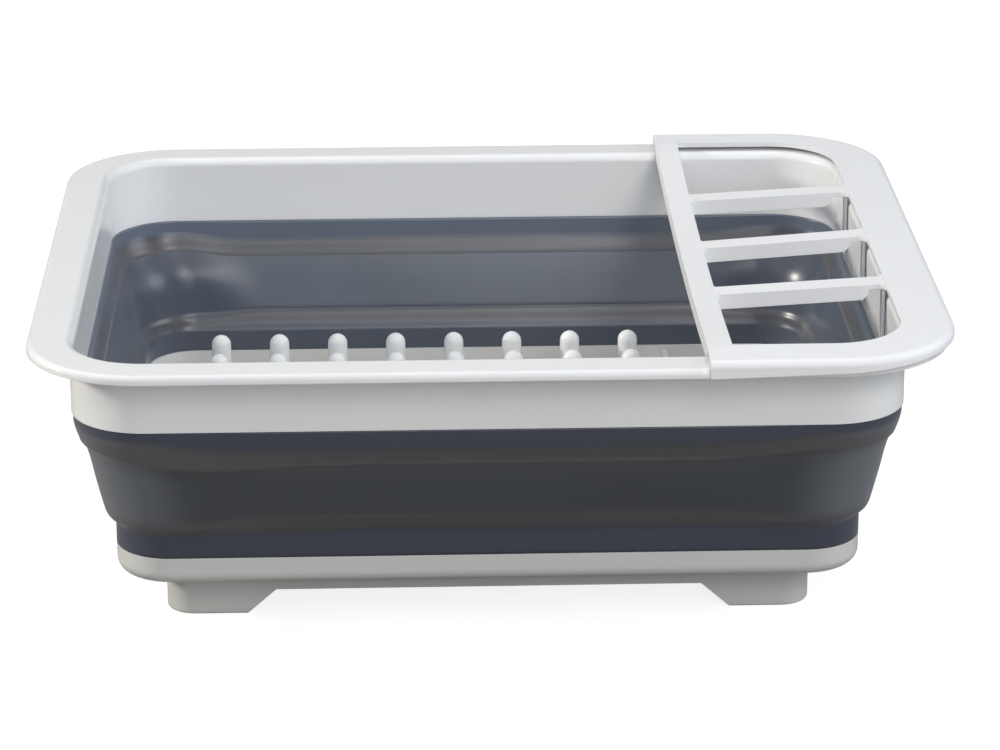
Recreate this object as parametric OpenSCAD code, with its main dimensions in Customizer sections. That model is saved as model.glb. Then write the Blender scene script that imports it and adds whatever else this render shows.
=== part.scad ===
/* [Rim frame] */
// Length of the rim over its outer lip
rim_length = 368; // [340:1:400]
// Depth of the rim over its outer lip
rim_depth = 318; // [300:1:340]
// Plan radius of the rim's outer corners
rim_corner = 48; // [46:1:52]
// Height of the rim's top face above the floor
rim_top = 121; // [120:0.5:124]
// Width of the flange outside the frame's wall
rim_overhang = 16.9; // [15:0.1:18]
// Thickness of the flange
flange_thick = 2.4; // [2:0.1:3]
// Height of the flange's turned-down outer lip
lip_height = 3.6; // [3.2:0.1:5]
// Thickness of the frame's wall
frame_thick = 2; // [1.8:0.1:2.5]
// Height of the frame's lower edge above the floor
frame_bottom = 91.5; // [90:0.5:93]

/* [Folding wall] */
// Thickness of the soft wall
soft_thick = 2; // [1.6:0.1:2.4]
// How far the soft wall sits inside the frame's outer face
soft_inset = 0.6; // [0.3:0.1:1]
// Height at which the upper band ends and the fold begins
fold_top = 82; // [80:0.5:84]
// Height of the crease between the sloping and the upright part
fold_crease = 68; // [64:0.5:72]
// Height at which the fold ends and the lower band begins
fold_bottom = 42; // [40:0.5:44]

/* [Base tray] */
// Inset of the base inside the frame's outer face
base_inset = 15.6; // [15:0.1:17]
// Plan radius of the base's corners
base_corner = 23; // [22:0.5:26]
// Height of the tray's underside above the floor
tray_bottom = 20; // [19:0.5:22]
// Height of the tray's outer edge above the floor
tray_edge = 31.9; // [31:0.1:33]
// Height of the tongue inside the soft wall, above the tray's edge
tongue_height = 1.5; // [1:0.1:2]
// Thickness of the tray's floor
tray_thick = 3; // [2.5:0.1:3.5]
// Thickness of the tray's upright wall
tray_wall = 3; // [2.6:0.1:3.4]
// Radius along the tray's lower outer edge
tray_round = 5.5; // [5:0.5:8]
// Position along X of the wall beside the cutlery bay
divider_x = 88; // [86:0.5:92]
// Height of that wall above the tray's floor
divider_height = 8; // [6:0.5:8]
// Length of a drain slot
drain_length = 22; // [18:1:26]
// Width of a drain slot
drain_width = 3.6; // [3:0.1:3.8]

/* [Plate pegs] */
// Number of peg columns along the length
peg_columns = 8; // [6:1:8]
// Number of peg rows along the depth
peg_rows = 7; // [3:2:7]
// Distance between neighbouring pegs
peg_pitch = 26.2; // [25:0.1:27]
// Diameter of a peg
peg_diameter = 8.7; // [8:0.1:10]
// Height of the pegs' tops above the floor
peg_top = 56.4; // [50:0.1:58]
// Position along X of the first column
peg_first_x = -115; // [-118:0.5:-112]

/* [Foot frame] */
// Inset of the foot frame's ends inside the tray's outer face
foot_inset_end = 19.4; // [18:0.1:24]
// Inset of the foot frame's front and back inside the tray's outer face
foot_inset_side = 17.9; // [16:0.1:24]
// Plan radius of the foot frame's corners
foot_corner = 12; // [10:0.5:16]
// Thickness of the foot frame's wall
foot_thick = 3; // [2.5:0.1:3.5]
// Height of the arches between the feet
arch_height = 10.5; // [8:0.5:12]
// Length of a foot along the floor, from the frame's corner
foot_length = 33.1; // [28:0.1:38]
// Slope length of an arch's end, along the floor
arch_slope = 12; // [8:0.5:16]
// Radius along the feet's lower outer edge
foot_edge_r = 1; // [0.8:0.1:2]
// Thickness of the feet's soles
sole_thick = 2; // [1.6:0.1:3]

/* [Cutlery holder] */
// Position along X of the holder's straight edge
holder_x = 85; // [84:0.5:88]
// Height of the holder's top face above the floor
holder_top = 125; // [124.4:0.1:126]
// How far the holder's skirt stands outside the rim
holder_proud = 2.4; // [1.8:0.1:2.8]
// Gap between the holder and the rim
holder_gap = 0.3; // [0.3:0.05:0.5]
// Thickness of the holder's plate
plate_thick = 2.2; // [2.1:0.1:3]
// Width of the strip along the straight edge
strip_width = 10; // [8:0.5:12]
// Thickness of the strip and of the bars
strip_thick = 2; // [1.8:0.1:2.4]
// Radius along the holder's outer edge
holder_round = 3; // [2:0.1:3.2]
// Depth of the skirts under the strip and the bars
skirt_depth = 6.4; // [5:0.1:7]
// Thickness of those skirts
skirt_thick = 1.6; // [1.4:0.1:2]
// How far the strip's middle dips below its ends
strip_dip = 5; // [0:0.5:5]
// Width of a bar
bar_width = 10.5; // [7:0.5:11]
// Pitch of the bars
bar_pitch = 65.5; // [60:0.5:68]
// Position along Y of the middle bar
bar_middle_y = 4; // [0:0.5:6]
// Lower end of the locating tabs above the floor
tab_bottom = 95.5; // [92:0.5:100]

/* [Hidden] */
$fn = 96;
cut = 0.5;
far = 400;

// Half sizes of the rectangle through the rim's corner centres
rim_cx = rim_length / 2 - rim_corner;
rim_cy = rim_depth / 2 - rim_corner;
// Half sizes of the frame's outer face, and its radius in the corners
frame_hx = rim_length / 2 - rim_overhang;
frame_hy = rim_depth / 2 - rim_overhang;
frame_r = rim_corner - rim_overhang;
// Half sizes of the tray's outer face, and of its corner-centre rectangle
base_hx = frame_hx - base_inset;
base_hy = frame_hy - base_inset;
base_cx = base_hx - base_corner;
base_cy = base_hy - base_corner;
tray_floor = tray_bottom + tray_thick;
// Half sizes of the foot frame, and of its corner-centre rectangle
foot_hx = base_hx - foot_inset_end;
foot_hy = base_hy - foot_inset_side;
foot_cx = foot_hx - foot_corner;
foot_cy = foot_hy - foot_corner;
// Edges of the holder's window
window_x = holder_x + strip_width;
window_right = frame_hx - frame_thick - holder_gap;
window_front = -(frame_hy - 1.5);
window_back = frame_hy + 2.3;
holder_under = rim_top + holder_gap;
// Lower edge of the holder's skirt at the straight edge
lip_under = rim_top - lip_height + 0.5;

// Points of a quarter arc from angle a to angle b
function arc(x, y, r, a, b, n = 8) =
    [for (i = [0:n]) [x + r * cos(a + (b - a) * i / n), y + r * sin(a + (b - a) * i / n)]];

// A rectangle with round corners, as exact circles and squares
module rounded_plan(hx, hy, r) {
    square([2 * (hx - r), 2 * hy], center = true);
    square([2 * hx, 2 * (hy - r)], center = true);
    for (sx = [-1, 1], sy = [-1, 1])
        translate([sx * (hx - r), sy * (hy - r)])
            circle(r);
}

// One straight side of a ring: its profile runs from y = -half to y = half
module ring_side(reach, half) {
    translate([reach, half, 0])
        rotate([90, 0, 0])
            linear_extrude(2 * half)
                children();
}

// A closed ring round the rectangle cx by cy, with a (radius, height) profile as its child
module ring(cx, cy) {
    for (turn = [0, 180]) {
        rotate(turn) ring_side(cx, cy) children();
        rotate(turn + 90) ring_side(cy, cx) children();
    }
    for (sx = [-1, 1], sy = [-1, 1])
        translate([sx * cx, sy * cy, 0])
            rotate(sx > 0 ? (sy > 0 ? 0 : -90) : (sy > 0 ? 90 : 180))
                rotate_extrude(angle = 90)
                    children();
}

// Rim and wall in one section: the wall, the rolled inner edge, the flange and its lip
module frame_section() {
    roll = 3.5;
    lip_r = 2.4;
    lip_thick = 1.8;
    root = 1.2;
    inner = frame_r - frame_thick;
    under = rim_top - flange_thick;
    polygon(concat(
        [[frame_r, frame_bottom], [inner, frame_bottom]],
        arc(inner + roll, rim_top - roll, roll, 180, 90),
        arc(rim_corner - lip_r, rim_top - lip_r, lip_r, 90, 0),
        [
            [rim_corner, rim_top - lip_height],
            [rim_corner - lip_thick, rim_top - lip_height],
            [rim_corner - lip_thick, under]
        ],
        arc(frame_r + root, under - root, root, 90, 180, 4)
    ));
}

module top_frame() {
    color("whitesmoke") ring(rim_cx, rim_cy) frame_section();
}

// Soft wall, upper band: hangs from the frame's lower edge
module wall_upper_band() {
    color("slategray")
        ring(rim_cx, rim_cy)
            translate([frame_r - soft_inset - soft_thick, fold_top])
                square([soft_thick, frame_bottom - fold_top]);
}

// Soft wall, lower band: stands on the tray's edge, outside its tongue
module wall_lower_band() {
    color("slategray")
        ring(base_cx, base_cy)
            translate([base_corner - soft_thick, tray_edge])
                square([soft_thick, fold_bottom - tray_edge]);
}

// Outline of the fold at one level: inset from the frame's outer face, corner radius, height
fold_steps = 8;
function fold_ring(inset, r, z) = [
    for (q = [0:3], i = [0:fold_steps])
        let (a = 90 * q + 90 * i / fold_steps, sx = q == 0 || q == 3 ? 1 : -1, sy = q < 2 ? 1 : -1)
            [sx * (frame_hx - inset - r) + r * cos(a), sy * (frame_hy - inset - r) + r * sin(a), z]
];
// Inset, corner radius and height of each level of the fold's outer face
fold_levels = [
    [base_inset, base_corner, fold_bottom],
    [base_inset - 3.2, base_corner + 2, fold_bottom + 3],
    [base_inset - 7, base_corner + 4, fold_crease],
    [base_inset - 11.5, base_corner + 6.5, fold_crease + 9],
    [soft_inset, frame_r - soft_inset, fold_top]
];

// Soft wall, folding part: a thin loft between the two bands
module wall_fold_panel() {
    per_ring = 4 * (fold_steps + 1);
    last = len(fold_levels) - 1;
    count = last + 1;
    outer = [for (l = fold_levels) each fold_ring(l[0], l[1], l[2])];
    inner = [for (l = fold_levels) each fold_ring(l[0] + soft_thick, l[1] - soft_thick, l[2])];
    function at(side, level, i) = (side * count + level) * per_ring + i % per_ring;
    faces = concat(
        [for (l = [0:last - 1], i = [0:per_ring - 1])
            [at(0, l, i), at(0, l + 1, i), at(0, l + 1, i + 1), at(0, l, i + 1)]],
        [for (l = [0:last - 1], i = [0:per_ring - 1])
            [at(1, l, i), at(1, l, i + 1), at(1, l + 1, i + 1), at(1, l + 1, i)]],
        [for (i = [0:per_ring - 1])
            [at(0, last, i), at(1, last, i), at(1, last, i + 1), at(0, last, i + 1)]],
        [for (i = [0:per_ring - 1])
            [at(0, 0, i), at(0, 0, i + 1), at(1, 0, i + 1), at(1, 0, i)]]
    );
    color("lightslategray") polyhedron(concat(outer, inner), faces);
}

// Tray wall in section: the upright, its tongue, the round lower edge and a strip of floor
module tray_section() {
    fillet = 3;
    inner = base_corner - tray_wall;
    seam = base_corner - tray_round - 1;
    tongue = base_corner - soft_thick;
    polygon(concat(
        [
            [seam, tray_floor],
            [seam, tray_bottom],
            [base_corner - tray_round, tray_bottom]
        ],
        arc(base_corner - tray_round, tray_bottom + tray_round, tray_round, -90, 0),
        [
            [base_corner, tray_edge],
            [tongue, tray_edge],
            [tongue, tray_edge + tongue_height],
            [inner, tray_edge + tongue_height]
        ],
        arc(inner - fillet, tray_floor + fillet, fillet, 0, -90, 6)
    ));
}

// One drain slot with round ends, along X
module drain_slot() {
    half = (drain_length - drain_width) / 2;
    square([2 * half, drain_width], center = true);
    for (s = [-1, 1])
        translate([s * half, 0])
            circle(d = drain_width);
}

module base_tray() {
    seam = base_corner - tray_round - 1;
    plate_hx = base_cx + seam;
    plate_hy = base_cy + seam;
    wall_hy = base_hy - tray_wall;
    rib_thick = 2;
    rib_height = 4;
    rib_right = base_hx - tray_wall + cut;
    bay_slot_x = divider_x + 22;
    bay_slot_pitch = 60;
    color("whitesmoke") {
        ring(base_cx, base_cy) tray_section();
        translate([0, 0, tray_bottom])
            linear_extrude(tray_thick)
                difference() {
                    rounded_plan(plate_hx, plate_hy, seam);
                    for (x = [-1.5:1.5], y = [-2.5:2.5])
                        translate([peg_first_x + (2 * x + 3.5) * peg_pitch, y * peg_pitch])
                            drain_slot();
                    for (y = [-0.5, 0.5])
                        translate([bay_slot_x, y * bay_slot_pitch + bar_middle_y])
                            drain_slot();
                }
        // The wall beside the cutlery bay
        translate([divider_x, -wall_hy, tray_floor - cut])
            cube([rib_thick, 2 * wall_hy, divider_height + cut]);
        // Low ribs across the bay, under the holder's bars
        for (i = [-1:1])
            translate([divider_x, bar_middle_y + i * bar_pitch, tray_floor - cut])
                cube([rib_right - divider_x, rib_thick, rib_height + cut]);
    }
}

// One peg: a round post with a domed top
module peg() {
    r = peg_diameter / 2;
    height = peg_top - tray_floor - r;
    cylinder(h = height, r = r);
    translate([0, 0, height])
        intersection() {
            sphere(r);
            cylinder(h = 2 * r, r = 2 * r);
        }
}

module plate_pegs() {
    color("white")
        for (i = [0:peg_columns - 1], j = [0:peg_rows - 1])
            translate([
                peg_first_x + i * peg_pitch,
                (j - (peg_rows - 1) / 2) * peg_pitch,
                tray_floor
            ])
                peg();
}

// An arch between two feet, cut through one pair of sides
module arch(half, reach) {
    foot_edge = half - foot_length;
    rotate([90, 0, 0])
        linear_extrude(2 * reach, center = true)
            polygon([
                [-foot_edge, -cut],
                [foot_edge, -cut],
                [foot_edge, 0],
                [foot_edge - arch_slope, arch_height],
                [arch_slope - foot_edge, arch_height],
                [-foot_edge, 0]
            ]);
}

// Foot frame in section, with its lower outer edge rounded
module foot_section() {
    polygon(concat(
        [[foot_corner - foot_thick, tray_bottom], [foot_corner - foot_thick, 0]],
        arc(foot_corner - foot_edge_r, foot_edge_r, foot_edge_r, -90, 0, 4),
        [[foot_corner, tray_bottom]]
    ));
}

// Soles that close the feet, one in each corner of the frame
module foot_soles() {
    linear_extrude(sole_thick)
        intersection() {
            rounded_plan(foot_hx - foot_edge_r, foot_hy - foot_edge_r, foot_corner - foot_edge_r);
            for (sx = [-1, 1], sy = [-1, 1])
                translate([sx * (foot_hx - foot_length / 2), sy * (foot_hy - foot_length / 2)])
                    square(foot_length, center = true);
        }
}

module foot_frame() {
    color("gainsboro") {
        difference() {
            ring(foot_cx, foot_cy) foot_section();
            arch(foot_hx, foot_hy + cut);
            rotate(90) arch(foot_hy, foot_hx + cut);
        }
        foot_soles();
    }
}

// Height of the strip's top face at a place along Y
function strip_z(y) = holder_top - strip_dip * (1 - pow(y / frame_hy, 2));

// A band that follows the strip's dip, as deep as given, from one end to the other
module strip_band(depth) {
    steps = 24;
    end_y = window_back + 2;
    ys = [for (i = [0:steps]) -end_y + 2 * end_y * i / steps];
    rotate([90, 0, 90])
        polygon_band([for (y = ys) [y, min(strip_z(y), holder_top)]], depth);
}

module polygon_band(top, depth) {
    n = len(top) - 1;
    linear_extrude(strip_width)
        polygon(concat(top, [for (i = [n:-1:0]) top[i] - [0, depth]]));
}

// The strip along the straight edge: a thin band with a skirt down each side
module holder_strip() {
    translate([holder_x, 0, 0])
        difference() {
            strip_band(skirt_depth);
            translate([skirt_thick, 0, -strip_thick])
                intersection() {
                    strip_band(skirt_depth);
                    translate([0, -far / 2, 0])
                        cube([strip_width - 2 * skirt_thick, far, far]);
                }
        }
}

// The flared foot of a bar: round corners of radius r on both sides, where it meets an edge at x = 0
module bar_flare(r) {
    bite = 0.2;
    cx = bite - r;
    cy = bar_width / 2 + r - bite;
    polygon(concat(
        [[1.5, -cy], [1.5, cy]],
        arc(cx, cy, r, 0, -90),
        arc(cx, -cy, r, 90, 0)
    ));
}

// One bar: rises from the strip to the right-hand side, with skirts front and back
module holder_bar(y) {
    left_z = strip_z(y);
    start = window_x - 1;
    run = window_right + 2 - start;
    rise = holder_top - left_z;
    length = sqrt(run * run + rise * rise);
    skirt_end = length - 9;
    corner = skirt_depth - strip_thick;
    skin = 0.1;
    translate([start, y, left_z])
        rotate([0, -atan(rise / run), 0]) {
            translate([0, 0, skin - strip_thick])
                linear_extrude(strip_thick - 2 * skin) {
                    translate([length - 2, 0]) bar_flare(5);
                    translate([1, 0]) rotate(180) bar_flare(2.5);
                }
            difference() {
                rotate([90, 0, 90])
                    linear_extrude(length)
                        polygon([
                            [-bar_width / 2, 0],
                            [bar_width / 2, 0],
                            [bar_width / 2, -skirt_depth / 2],
                            [bar_width / 2 - skirt_thick, -skirt_depth / 2],
                            [bar_width / 2 - skirt_thick, -strip_thick],
                            [skirt_thick - bar_width / 2, -strip_thick],
                            [skirt_thick - bar_width / 2, -skirt_depth],
                            [-bar_width / 2, -skirt_depth]
                        ]);
                // The skirts end in a round corner, short of the right-hand side
                rotate([90, 0, 0])
                    linear_extrude(2 * bar_width, center = true)
                        polygon(concat(
                            [
                                [length + cut, -strip_thick],
                                [length + cut, -skirt_depth - cut],
                                [skirt_end - corner, -skirt_depth - cut]
                            ],
                            arc(skirt_end - corner, -strip_thick, corner, -90, 0)
                        ));
            }
        }
}

// A tab that hangs under a bar's right-hand end, down the frame's inner face
module holder_tab(y) {
    tab_thick = 1.4;
    tab_width = 5;
    top = holder_top - strip_thick / 2;
    translate([window_right - tab_thick, y + 0.3 - bar_width / 2, tab_bottom])
        cube([tab_thick, tab_width, top - tab_bottom]);
}

// Shell of the holder in section: a plate, a ledge that rests on the flange, a round edge and a skirt
module holder_section() {
    outer = rim_corner + holder_proud;
    skirt_in = rim_corner + holder_gap;
    ledge_in = rim_corner - 6;
    plate_under = holder_top - plate_thick;
    // The plate's inner end lies inside the window, which is cut afterwards
    plate_in = frame_r - frame_thick - 1.2;
    polygon(concat(
        [
            [plate_in, holder_top],
            [plate_in, plate_under],
            [ledge_in, plate_under],
            [ledge_in, holder_under],
            [skirt_in, holder_under],
            [skirt_in, lip_under],
            [outer, lip_under]
        ],
        arc(outer - holder_round, holder_top - holder_round, holder_round, 0, 90)
    ));
}

// The window that the bars divide: straight at the strip, round at the frame's corners
module holder_window() {
    r = frame_r - frame_thick;
    width = window_right - window_x;
    translate([window_x, window_front + r])
        square([width, window_back - window_front - 2 * r]);
    translate([window_x, window_front])
        square([width - r, window_back - window_front]);
    for (y = [window_front + r, window_back - r])
        translate([window_right - r, y])
            circle(r);
}

module cutlery_holder() {
    lip_rise = 2.8;
    span = rim_length / 2 - holder_x;
    color("white") {
        difference() {
            ring(rim_cx, rim_cy) holder_section();
            // Everything beyond the straight edge
            translate([holder_x - far, -far / 2, 0])
                cube([far, far, far]);
            // The window, and the gap between the two rims for the dipping strip
            translate([0, 0, holder_under - cut])
                linear_extrude(holder_top - holder_under + 2 * cut) {
                    holder_window();
                    translate([holder_x - cut, window_front])
                        square([strip_width + 2 * cut, window_back - window_front]);
                }
            // The skirt's lower edge climbs from the straight edge to the far end
            translate([holder_x, -far / 2, lip_under])
                rotate([0, -atan(lip_rise / span), 0])
                    translate([0, 0, -10])
                        cube([2 * span, far, 10]);
        }
        holder_strip_fitted();
        for (i = [-1:1]) {
            holder_bar(bar_middle_y + i * bar_pitch);
            holder_tab(bar_middle_y + i * bar_pitch);
        }
    }
}

// The strip, cut off square at each end, with its skirts ending inside the frame's wall
module holder_strip_fitted() {
    skirt_reach = frame_hy - frame_thick - holder_gap;
    difference() {
        intersection() {
            holder_strip();
            translate([0, window_front - 1, 0])
                cube([far, window_back - window_front + 2, far]);
        }
        for (s = [-1, 1])
            translate([0, s * (skirt_reach + far / 2) - far / 2, 0])
                cube([far, far, holder_under]);
    }
}

top_frame();
wall_upper_band();
wall_fold_panel();
wall_lower_band();
base_tray();
plate_pegs();
foot_frame();
cutlery_holder();
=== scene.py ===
import math

import bpy
from mathutils import Matrix, Quaternion, Vector


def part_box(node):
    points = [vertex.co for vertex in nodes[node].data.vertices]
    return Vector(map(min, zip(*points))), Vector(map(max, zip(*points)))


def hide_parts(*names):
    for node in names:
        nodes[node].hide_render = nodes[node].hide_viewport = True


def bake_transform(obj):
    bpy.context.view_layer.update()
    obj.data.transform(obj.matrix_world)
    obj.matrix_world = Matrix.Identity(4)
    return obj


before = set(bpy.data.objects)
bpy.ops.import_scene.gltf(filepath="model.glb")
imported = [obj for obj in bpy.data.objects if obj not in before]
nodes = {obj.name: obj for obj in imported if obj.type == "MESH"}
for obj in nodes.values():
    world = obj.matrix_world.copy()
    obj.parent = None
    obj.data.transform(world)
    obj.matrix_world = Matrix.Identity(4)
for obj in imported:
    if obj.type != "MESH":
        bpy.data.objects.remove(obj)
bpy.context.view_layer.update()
scene = bpy.context.scene
MM = 0.001

# ---------------------------------------------------------------- camera
LENS_MM = 137.5
SENSOR_MM = 36.0
CAMERA_AT = Vector((-0.0416, -1.5527, 0.6154))
CAMERA_FORWARD = Vector((0.030197, 0.941836, -0.334714))
CAMERA_UP = Vector((0.013106, 0.334465, 0.942317))


def add_camera():
    """The camera at the photograph's viewing angle."""
    data = bpy.data.cameras.new("camera")
    data.lens = LENS_MM
    data.sensor_width = SENSOR_MM
    data.clip_start, data.clip_end = 0.05, 50.0
    camera = bpy.data.objects.new("camera", data)
    scene.collection.objects.link(camera)
    back = -CAMERA_FORWARD.normalized()
    right = CAMERA_UP.cross(back).normalized()
    up = back.cross(right)
    turn = Matrix((right, up, back)).transposed()
    camera.matrix_world = Matrix.Translation(CAMERA_AT) @ turn.to_4x4()
    scene.camera = camera


add_camera()

# ---------------------------------------------------------------- light
scene.view_settings.view_transform = "Standard"
scene.view_settings.look = "None"


def add_area(name, at, target, size, power, colour, roll=0.0):
    """A rectangular soft light at a place, pointed at a target and rolled in degrees about that line."""
    data = bpy.data.lights.new(name, "AREA")
    data.shape = "RECTANGLE"
    data.size, data.size_y = size
    data.energy = power
    data.color = colour
    lamp = bpy.data.objects.new(name, data)
    scene.collection.objects.link(lamp)
    lamp.location = at
    aim = Vector(target) - Vector(at)
    lamp.rotation_mode = "QUATERNION"
    spin = Quaternion((0.0, 0.0, 1.0), math.radians(roll))
    lamp.rotation_quaternion = aim.to_track_quat("-Z", "Y") @ spin
    return lamp


MIDDLE = Vector((0.0, 0.0, 0.07))


def around(azimuth, elevation, distance=1.7):
    """A place round the object; azimuth 0 is in front and 90 on the right, in degrees."""
    a, e = math.radians(azimuth), math.radians(elevation)
    return MIDDLE + distance * Vector((math.cos(e) * math.sin(a), -math.cos(e) * math.cos(a), math.sin(e)))


def add_lights():
    """Soft studio light: one behind the camera, two banks above, and smaller ones round the sides."""
    add_area("soft_front", (0.32, -2.03, 0.91), MIDDLE, (1.0, 1.0), 13.2, (0.88, 0.94, 1.0), 36.0)
    add_area("top_bank", around(180, 78, 2.1), MIDDLE, (3.4, 2.6), 26.0, (0.95, 0.98, 1.0))
    add_area("high_front", around(0, 58, 2.2), MIDDLE, (3.0, 1.6), 13.0, (0.95, 0.98, 1.0))
    add_area("left", around(-96, 20), MIDDLE, (0.16, 0.16), 19.5, (1.0, 0.96, 0.88))
    add_area("right", around(85, 25), MIDDLE, (1.0, 1.0), 12.0, (0.88, 0.94, 1.0))
    add_area("left_front", around(-54, 35), MIDDLE, (0.35, 0.35), 1.0, (0.9, 0.97, 1.0))
    add_area("right_front", around(20, 35), MIDDLE, (0.35, 0.35), 4.0, (1.0, 0.88, 0.78))
    world = bpy.data.worlds.new("room")
    scene.world = world
    world.use_nodes = True
    background = world.node_tree.nodes["Background"]
    background.inputs["Color"].default_value = (0.92, 0.95, 1.0, 1.0)
    background.inputs["Strength"].default_value = 0.01


add_lights()


# ---------------------------------------------------------------- materials
# The range that nearly all of a noise texture's values lie in
NOISE_LOW = 0.3
NOISE_HIGH = 0.7
# The soft wall's colours: two tones of each side, then its straight bands, its corners and its folds. The
# inside's colours are paler, bluer copies of the same grey, as a painted reflection of the light inside
# the basin; the corners' colour is a painted sheen on the outside corners.
GREY_OUTSIDE = ((0.052, 0.058, 0.067), (0.048, 0.053, 0.062))
LIT_GREY_INSIDE = ((0.080, 0.094, 0.124), (0.072, 0.085, 0.113))
BAND_OUTSIDE = (0.050, 0.055, 0.080)
LIT_BAND_INSIDE = (0.133, 0.160, 0.208)
CORNER_SHEEN_OUTSIDE = (0.130, 0.140, 0.158)
FOLD_OUTSIDE = (0.090, 0.084, 0.088)
FOLD_INSIDE = (0.100, 0.095, 0.104)


def new_material(name):
    """A material with its shader: (material, node tree, Principled shader)."""
    material = bpy.data.materials.new(name)
    material.use_nodes = True
    tree = material.node_tree
    return material, tree, tree.nodes["Principled BSDF"]


def noise(tree, coordinates, scale, detail, roughness=0.5):
    """A noise texture on the object's own coordinates."""
    node = tree.nodes.new("ShaderNodeTexNoise")
    node.inputs["Scale"].default_value = scale
    node.inputs["Detail"].default_value = detail
    node.inputs["Roughness"].default_value = roughness
    tree.links.new(coordinates, node.inputs["Vector"])
    return node.outputs["Fac"]


def remap(tree, value, low, high, from_low=0.0, from_high=1.0):
    """A value brought from one range to another, clamped."""
    node = tree.nodes.new("ShaderNodeMapRange")
    node.inputs["From Min"].default_value = from_low
    node.inputs["From Max"].default_value = from_high
    node.inputs["To Min"].default_value = low
    node.inputs["To Max"].default_value = high
    tree.links.new(value, node.inputs["Value"])
    return node.outputs["Result"]


def patches(tree, coordinates, scale, low, high, detail=2.0):
    """Soft patches of noise, brought from the middle of its range to another one."""
    return remap(tree, noise(tree, coordinates, scale, detail), low, high, NOISE_LOW, NOISE_HIGH)


def mix_colour(tree, factor, a, b):
    """A mix of two colours; each is a colour or another node's output."""
    node = tree.nodes.new("ShaderNodeMix")
    node.data_type = "RGBA"
    tree.links.new(factor, node.inputs["Factor"])
    for socket, value in ((node.inputs["A"], a), (node.inputs["B"], b)):
        if isinstance(value, tuple):
            socket.default_value = (*value, 1.0)
        else:
            tree.links.new(value, socket)
    return node.outputs["Result"]


def math_node(tree, operation, a, b):
    """A sum or product of two values; each is a number or another node's output."""
    node = tree.nodes.new("ShaderNodeMath")
    node.operation = operation
    for socket, value in zip(node.inputs, (a, b)):
        if isinstance(value, (int, float)):
            socket.default_value = value
        else:
            tree.links.new(value, socket)
    return node.outputs["Value"]


def bump(tree, height, distance, normal=None):
    """A bump from a height, with its distance in metres; normal is what it starts from."""
    node = tree.nodes.new("ShaderNodeBump")
    node.inputs["Distance"].default_value = distance
    tree.links.new(height, node.inputs["Height"])
    if normal:
        tree.links.new(normal, node.inputs["Normal"])
    return node.outputs["Normal"]


def attribute(tree, name):
    """A number that the mesh carries at each of its points."""
    node = tree.nodes.new("ShaderNodeAttribute")
    node.attribute_name = name
    return node.outputs["Fac"]


def object_coordinates(tree):
    """The object's own coordinates, in metres."""
    return tree.nodes.new("ShaderNodeTexCoord").outputs["Object"]


def soft_edge(tree, radius):
    """Normals rounded off along the sharp edges of a moulding."""
    node = tree.nodes.new("ShaderNodeBevel")
    node.samples = 6
    node.inputs["Radius"].default_value = radius
    return node.outputs["Normal"]


def plastic_material(name, light, shade, rough, ior):
    """Moulded polypropylene: faintly cloudy, softly rippled, and faintly smeared by handling."""
    material, tree, shader = new_material(name)
    at = object_coordinates(tree)
    cloud = patches(tree, at, 9.0, 0.0, 1.0)
    tree.links.new(mix_colour(tree, cloud, light, shade), shader.inputs["Base Color"])
    fine = noise(tree, at, 900.0, 2.0, 0.6)
    handled = patches(tree, at, 16.0, -0.015, 0.03)
    grained = remap(tree, fine, rough - 0.02, rough + 0.02)
    tree.links.new(math_node(tree, "ADD", grained, handled), shader.inputs["Roughness"])
    ripple = bump(tree, noise(tree, at, 30.0, 1.0), 0.08 * MM, soft_edge(tree, 0.35 * MM))
    tree.links.new(bump(tree, fine, 0.008 * MM, ripple), shader.inputs["Normal"])
    shader.inputs["IOR"].default_value = ior
    return material


def sleeve_material():
    """Satin elastomer with a fine matt grain: warmer where it folds, a paler painted reflection on its
    inside, and a painted sheen on its outside corners.
    """
    material, tree, shader = new_material("grey_soft")
    at = object_coordinates(tree)
    cloud = patches(tree, at, 14.0, 0.0, 1.0)
    side, band = attribute(tree, "inner_face"), attribute(tree, "band")
    outside = mix_colour(tree, band, mix_colour(tree, cloud, *GREY_OUTSIDE), BAND_OUTSIDE)
    # Painted sheen: the outside is made paler on its corners, standing in for the light they catch
    outside = mix_colour(tree, attribute(tree, "corner"), outside, CORNER_SHEEN_OUTSIDE)
    # Painted reflection: the inside gets a paler, bluer copy of the same grey, and its upper band paler
    # still
    inside = mix_colour(tree, band, mix_colour(tree, cloud, *LIT_GREY_INSIDE), LIT_BAND_INSIDE)
    body = mix_colour(tree, side, outside, inside)
    fold = mix_colour(tree, side, FOLD_OUTSIDE, FOLD_INSIDE)
    folded = math_node(tree, "MULTIPLY", attribute(tree, "folded"), remap(tree, cloud, 0.75, 1.0))
    tree.links.new(mix_colour(tree, folded, body, fold), shader.inputs["Base Color"])
    grain = noise(tree, at, 1500.0, 2.0, 0.7)
    smear = patches(tree, at, 18.0, -0.015, 0.025, detail=1.0)
    rough = math_node(tree, "ADD", remap(tree, grain, 0.27, 0.31), smear)
    tree.links.new(rough, shader.inputs["Roughness"])
    uneven = bump(tree, noise(tree, at, 26.0, 1.0), 0.25 * MM)
    tree.links.new(bump(tree, grain, 0.012 * MM, uneven), shader.inputs["Normal"])
    shader.inputs["IOR"].default_value = 1.5
    shader.inputs["Sheen Weight"].default_value = 0.12
    shader.inputs["Sheen Roughness"].default_value = 0.5
    shader.inputs["Sheen Tint"].default_value = (0.75, 0.86, 1.0, 1.0)
    return material


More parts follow.
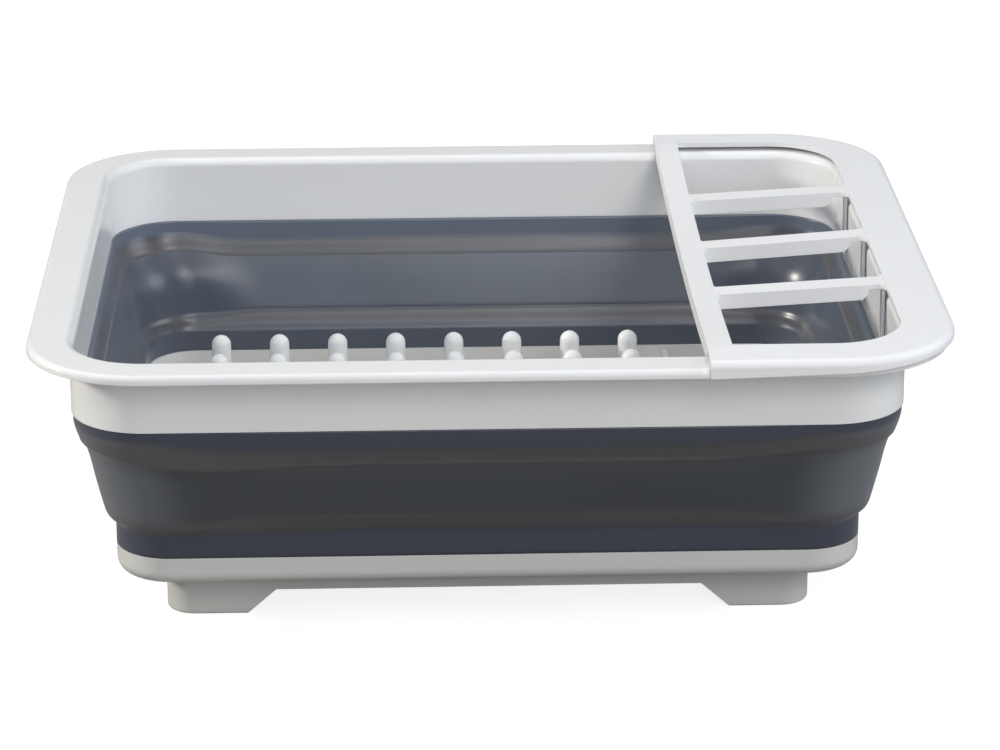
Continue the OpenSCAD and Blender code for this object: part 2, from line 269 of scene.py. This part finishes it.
def sheet_material(name, colour, glow):
    """Matt paper, faintly uneven; glow is the light it gives out itself, which keeps its shadows pale."""
    material, tree, shader = new_material(name)
    at = object_coordinates(tree)
    cloud = patches(tree, at, 3.0, 0.0, 1.0)
    dull = tuple(0.98 * c for c in colour)
    tree.links.new(mix_colour(tree, cloud, colour, dull), shader.inputs["Base Color"])
    shader.inputs["Roughness"].default_value = 0.9
    shader.inputs["Emission Color"].default_value = (1.0, 1.0, 1.0, 1.0)
    shader.inputs["Emission Strength"].default_value = glow
    return material


def paint(piece, material):
    """One material over the whole piece."""
    piece.data.materials.clear()
    piece.data.materials.append(material)


WHITE = plastic_material("white_gloss", (0.86, 0.86, 0.868), (0.85, 0.85, 0.86), 0.2, 1.36)
WHITE_HOLDER = plastic_material("white_holder", (0.87, 0.87, 0.885), (0.86, 0.86, 0.877), 0.34, 1.34)
# Painted shade: the tray and feet get a darker, warmer copy of the white plastic
WHITE_TRAY_SHADED = plastic_material("white_tray_shaded", (0.67, 0.665, 0.65), (0.66, 0.655, 0.64), 0.36, 1.4)
WHITE_PEGS = plastic_material("white_pegs", (0.85, 0.855, 0.86), (0.84, 0.845, 0.85), 0.28, 1.4)
GREY = sleeve_material()


# ---------------------------------------------------------------- floor
def add_sheet(name, height, material):
    """A large flat sheet under the feet, which isn't part of the object."""
    half = 6.0
    corners = [(-half, -half, height), (half, -half, height), (half, half, height), (-half, half, height)]
    mesh = bpy.data.meshes.new(name)
    mesh.from_pydata(corners, [], [(0, 1, 2, 3)])
    sheet = bpy.data.objects.new(name, mesh)
    scene.collection.objects.link(sheet)
    paint(sheet, material)
    return sheet


def add_floor():
    """The pale floor that the camera sees, and just under it the duller one that bounces light upwards."""
    pale = add_sheet("floor", 0.0, sheet_material("pale_paper", (0.3, 0.3, 0.3), 0.85))
    pale.visible_diffuse = False
    pale.visible_glossy = False
    pale.visible_shadow = False
    dull = add_sheet("floor_bounce", -0.5 * MM, sheet_material("dull_paper", (0.32, 0.31, 0.295), 0.0))
    dull.visible_camera = False


add_floor()


# ---------------------------------------------------------------- white pieces
paint(nodes["top_frame"], WHITE)
paint(nodes["cutlery_holder"], WHITE_HOLDER)
paint(nodes["base_tray"], WHITE_TRAY_SHADED)
paint(nodes["plate_pegs"], WHITE_PEGS)
paint(nodes["foot_frame"], WHITE_TRAY_SHADED)

# ---------------------------------------------------------------- folding wall
upper_low, upper_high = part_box("wall_upper_band")
lower_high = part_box("wall_lower_band")[1]
# How far the wall's top and foot stand in from the frame's outer face, in millimetres
TOP_INSET = 0.6
FOOT_INSET = 15.6
# The frame's outer face, from which every inset is measured, in millimetres
WALL_X = upper_high.x / MM + TOP_INSET
WALL_Y = upper_high.y / MM + TOP_INSET
# Corner radii of the wall's plan at its top and foot, in millimetres
TOP_RADIUS = 30.5
FOOT_RADIUS = 23.0
# Heights that the wall folds between, in millimetres
FOLD_LOW = lower_high.z / MM
FOLD_HIGH = upper_low.z / MM

# Each row is one line round the wall, from the rim down: inset and height in the middle of a face,
# inset and height in a corner, and how far that part of the wall has been folded.
OUTER = [
    (0.6, 91.5, 0.6, 91.5, 0.0),
    (0.6, 85.6, 0.6, 88.4, 0.0),
    (0.8, 83.6, 0.8, 86.8, 0.2),
    (1.9, 80.8, 1.4, 84.4, 0.9),
    (3.5, 77.8, 2.4, 81.4, 1.0),
    (3.9, 76.5, 2.8, 80.1, 1.0),
    (4.1, 75.6, 3.6, 79.1, 0.8),
    (4.9, 74.3, 4.8, 77.8, 0.3),
    (6.1, 68.0, 6.5, 71.2, 0.0),
    (8.3, 60.0, 8.2, 61.6, 0.0),
    (10.3, 53.2, 10.3, 51.6, 0.1),
    (10.8, 51.4, 11.0, 48.6, 0.5),
    (11.0, 50.6, 11.6, 46.6, 0.9),
    (11.9, 49.2, 12.6, 44.8, 1.0),
    (13.9, 46.0, 14.6, 43.0, 0.9),
    (15.2, 43.6, 15.5, 41.8, 0.4),
    (15.6, 42.0, 15.6, 40.6, 0.0),
    (15.6, 39.0, 15.6, 38.4, 0.0),
    (15.6, 31.9, 15.6, 31.9, 0.0),
]
INNER = [
    (2.6, 91.5, 2.6, 91.5, 0.0),
    (2.6, 85.6, 2.6, 87.2, 0.0),
    (2.8, 83.6, 2.9, 85.6, 0.2),
    (3.6, 80.8, 3.8, 83.0, 0.9),
    (4.9, 77.8, 5.1, 80.2, 1.0),
    (5.4, 76.3, 5.7, 78.7, 1.0),
    (6.3, 75.6, 6.6, 77.9, 0.6),
    (6.7, 74.7, 7.2, 76.8, 0.1),
    (8.8, 68.0, 11.0, 69.2, 0.0),
    (11.2, 60.0, 12.6, 61.0, 0.0),
    (13.2, 53.4, 13.5, 53.4, 0.0),
    (13.5, 52.0, 14.0, 50.4, 0.2),
    (14.1, 51.2, 14.7, 49.0, 0.7),
    (14.8, 49.6, 15.6, 47.6, 1.0),
    (16.0, 46.0, 16.6, 44.8, 0.8),
    (17.2, 43.6, 17.4, 43.0, 0.3),
    (17.6, 42.0, 17.6, 41.6, 0.0),
    (17.6, 39.0, 17.6, 39.0, 0.0),
    (17.6, 31.9, 17.6, 31.9, 0.0),
]
LEVEL_STEPS = 4
CORNER_STEPS = 24
FACE_STEPS = 48
# Each quarter is a corner and the face after it, going round from the back right corner. The quarter
# named FRONT is the front left corner and the front face.
CORNER_SIGNS = ((1, 1), (-1, 1), (-1, -1), (1, -1))
FACE_WAYS = ((-1, 0), (0, -1), (1, 0), (0, 1))
FRONT = 2
# A corner's reach along a face, and its swell: how much rounder it is half way down, in millimetres
OUTER_CORNER = (52.0, 0.0)
INNER_CORNER = (26.0, 7.0)
# How fast the painted sheen on a corner fades round the corner and along a face, and how much of it stays
# even
TURN_FADE = 1.5
FACE_FADE = 9.0
PALE_CORE = 0.27
# Where the straight bands meet the fold, and over what height they change into it, in millimetres
UPPER_BAND_FOOT = 81.0
UPPER_BAND_BLEND = 5.0
LOWER_BAND_TOP = 46.0
LOWER_BAND_BLEND = 4.0
# The sag of the upper crease near the front left corner: place along the front from the corner's end,
# reach along it, drop, level and height, and the push inwards below the crest, all in millimetres
SAG_AT = 16.0
SAG_REACH = 26.0
SAG_DROP = 4.6
SAG_LEVEL = 77.0
SAG_HEIGHT = 7.0
PUSH_AT = 10.0
PUSH_DEPTH = 1.5
CREST_LEVEL = 78.6
CREST_BLEND = 2.4
PUSH_FOOT = 54.0
PUSH_FADE = 22.0


def spline(rows, steps):
    """Catmull-Rom through the rows, with a number of steps between two rows."""
    out = []
    for i in range(len(rows) - 1):
        p0, p1 = rows[max(i - 1, 0)], rows[i]
        p2, p3 = rows[i + 1], rows[min(i + 2, len(rows) - 1)]
        for k in range(steps):
            t = k / steps
            out.append(tuple(
                0.5 * (2 * b + (c - a) * t + (2 * a - 5 * b + 4 * c - d) * t * t
                       + (3 * b - a - 3 * c + d) * t ** 3)
                for a, b, c, d in zip(p0, p1, p2, p3)
            ))
    out.append(rows[-1])
    return out


def smooth(t):
    """Smoothstep between 0 and 1."""
    t = max(0.0, min(1.0, t))
    return t * t * (3 - 2 * t)


def upper_band(z):
    """Share of a level that belongs to the straight band above the fold."""
    return smooth((z - UPPER_BAND_FOOT) / UPPER_BAND_BLEND)


def lower_band(z):
    """Share of a level that belongs to the straight band below the fold."""
    return smooth((LOWER_BAND_TOP - z) / LOWER_BAND_BLEND)


def wall_stations():
    """Places round the wall: quarter, direction in degrees, and share of the face since the corner."""
    out = []
    for quarter in range(4):
        out += [(quarter, 90 * quarter + 90 * i / CORNER_STEPS, 0.0) for i in range(CORNER_STEPS)]
        out += [(quarter, 90 * (quarter + 1), i / FACE_STEPS) for i in range(FACE_STEPS)]
    return out


def bell(distance, width):
    """A bell-shaped share, 1 at no distance."""
    return math.exp(-(distance / width) ** 2)


def sag(along_front, z):
    """How the upper crease sags near the front left corner: drop, and push inwards just below it."""
    drop = SAG_DROP * bell(along_front - SAG_AT, SAG_REACH) * bell(z - SAG_LEVEL, SAG_HEIGHT)
    below_crest = smooth((CREST_LEVEL - z) / CREST_BLEND) * smooth((z - PUSH_FOOT) / PUSH_FADE)
    push = PUSH_DEPTH * bell(along_front - PUSH_AT, SAG_REACH) * below_crest
    return drop, push


def wall_point(station, level, shape):
    """Place of one station at one level, in millimetres; shape is the corners' reach and swell."""
    reach, swell = shape
    quarter, angle, t = station
    face_inset, face_z, corner_inset, corner_z, _ = level
    share = smooth((face_z - FOLD_LOW) / (FOLD_HIGH - FOLD_LOW))
    radius = FOOT_RADIUS + (TOP_RADIUS - FOOT_RADIUS) * share + 4 * swell * share * (1 - share)
    plan_inset = FOOT_INSET + (TOP_INSET - FOOT_INSET) * share
    cx = WALL_X - plan_inset - radius
    cy = WALL_Y - plan_inset - radius
    a = math.radians(angle)
    nx, ny = math.cos(a), math.sin(a)
    # Distance along the face, from the last corner and from the nearest one
    half = cx if quarter % 2 == 0 else cy
    along = 2 * half * t
    gap = min(along, 2 * half - along)
    corner = 1.0 - smooth(gap / reach)
    inset = face_inset + (corner_inset - face_inset) * corner
    z = face_z + (corner_z - face_z) * corner
    px = CORNER_SIGNS[quarter][0] * cx + FACE_WAYS[quarter][0] * along
    py = CORNER_SIGNS[quarter][1] * cy + FACE_WAYS[quarter][1] * along
    if quarter == FRONT and gap == along:
        turned = math.radians(90.0 * (FRONT + 1) - angle) * radius
        drop, push = sag(along - turned, z)
        z -= drop
        inset += push
    out = radius + plan_inset - inset
    return px + nx * out, py + ny * out, z


def corner_sheen_share(station):
    """Where the painted sheen lies: 1 in the middle of a corner, falling to 0 a short way along the faces.
    """
    _, angle, t = station
    turned = abs(angle % 90.0 / 90.0 - 0.5)
    return 1.0 - smooth(TURN_FADE * turned + FACE_FADE * min(t, 1.0 - t) - PALE_CORE)


def closed_sheet(name, points, rows, count):
    """A mesh of rows of points, each row joined up into a ring and the last row joined to the first."""
    faces = []
    for k in range(rows):
        below = (k + 1) % rows
        for i in range(count):
            j = (i + 1) % count
            faces.append((k * count + i, below * count + i, below * count + j, k * count + j))
    mesh = bpy.data.meshes.new(name)
    mesh.from_pydata(points, [], faces)
    mesh.validate()
    mesh.shade_smooth()
    return mesh


def add_attribute(mesh, name, values):
    """A number at each point of a mesh, which its material reads."""
    mesh.attributes.new(name, "FLOAT", "POINT").data.foreach_set("value", values)


def make_sleeve():
    """The soft wall between the frame and the tray, as one closed sheet with an inside and an outside."""
    stations = wall_stations()
    outer_levels = spline(OUTER, LEVEL_STEPS)
    inner_levels = spline(INNER, LEVEL_STEPS)[::-1]
    levels = outer_levels + inner_levels
    shapes = [OUTER_CORNER] * len(outer_levels) + [INNER_CORNER] * len(inner_levels)
    points = [
        tuple(c * MM for c in wall_point(station, level, shape))
        for level, shape in zip(levels, shapes)
        for station in stations
    ]
    insides = [0.0] * len(outer_levels) + [1.0] * len(inner_levels)
    bands = [max(upper_band(level[1]), lower_band(level[1])) for level in outer_levels]
    bands += [upper_band(level[1]) for level in inner_levels]
    # Painted sheen on the outside corners, kept off the straight bands
    corner_sheen = [corner_sheen_share(station) * (1.0 - share) for share in bands for station in stations]
    mesh = closed_sheet("folding_wall", points, len(levels), len(stations))
    add_attribute(mesh, "folded", [max(0.0, level[4]) for level in levels for _ in stations])
    add_attribute(mesh, "inner_face", [inside for inside in insides for _ in stations])
    add_attribute(mesh, "band", [share for share in bands for _ in stations])
    # The attribute named corner carries the painted sheen
    add_attribute(mesh, "corner", corner_sheen)
    sleeve = bpy.data.objects.new("folding_wall", mesh)
    scene.collection.objects.link(sleeve)
    paint(sleeve, GREY)
    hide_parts("wall_upper_band", "wall_fold_panel", "wall_lower_band")
    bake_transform(sleeve)


make_sleeve()
